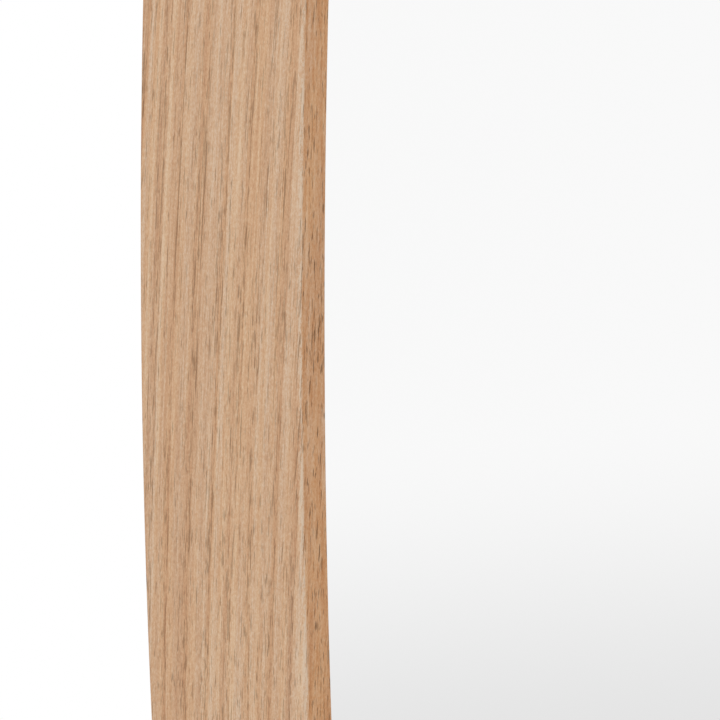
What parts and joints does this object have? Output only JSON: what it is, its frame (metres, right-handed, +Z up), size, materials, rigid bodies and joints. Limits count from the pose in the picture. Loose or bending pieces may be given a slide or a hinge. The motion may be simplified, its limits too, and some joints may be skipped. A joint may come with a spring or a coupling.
{
  "type": "oval wall mirror",
  "caption": "Upright oval wall mirror: slim, deep hoop of finger-jointed natural oak round inset silvered glass, with swinging ring hangers behind.",
  "frame": {"origin": "centre of the oval, on the wall plane that the felt pads touch", "axes": "X to the right seen from the front, Z up along the oval's long axis, front faces -Y, wall towards +Y"},
  "size_m": [0.5, 0.032, 1],
  "materials": {
    "oak": "natural oak, satin oil",
    "silvered_glass": "silvered float glass, ground edge",
    "fibreboard": "raw medium-density fibreboard",
    "foam_tape": "white closed-cell foam tape",
    "rubber": "matt black rubber",
    "zinc_steel": "bright zinc-plated steel",
    "felt": "grey-brown felt"
  },
  "bodies": {
    "mirror": {"frame_right": "oak", "frame_top_right": "oak", "frame_top": "oak", "frame_top_left": "oak", "frame_left": "oak", "frame_bottom_left": "oak", "frame_bottom": "oak", "frame_bottom_right": "oak", "mirror_glass": "silvered_glass", "carrier_board": "fibreboard", "bonding_tape_1": "foam_tape", "bonding_tape_2": "foam_tape", "bonding_tape_3": "foam_tape", "bonding_tape_4": "foam_tape", "bonding_tape_5": "foam_tape", "setting_block_left": "rubber", "setting_block_right": "rubber", "carrier_screws": "zinc_steel", "hanger_screws": "zinc_steel", "hanger_strap_left": "zinc_steel", "hanger_strap_right": "zinc_steel", "wall_pad_upper_left": "felt", "wall_pad_upper_right": "felt", "wall_pad_lower_left": "felt", "wall_pad_lower_right": "felt"},
    "ring_left": {"hanger_ring_left": "zinc_steel"},
    "ring_right": {"hanger_ring_right": "zinc_steel"}
  },
  "joints": [
    {"name": "ring_swing_left", "type": "hinge", "parent": "mirror", "child": "ring_left", "pos_m": [-0.15, -0.0082, 0.25], "axis": [-1, 0, 0], "range_deg": [0, 178]},
    {"name": "ring_swing_right", "type": "hinge", "parent": "mirror", "child": "ring_right", "pos_m": [0.15, -0.0082, 0.25], "axis": [-1, 0, 0], "range_deg": [0, 178]}
  ]
}
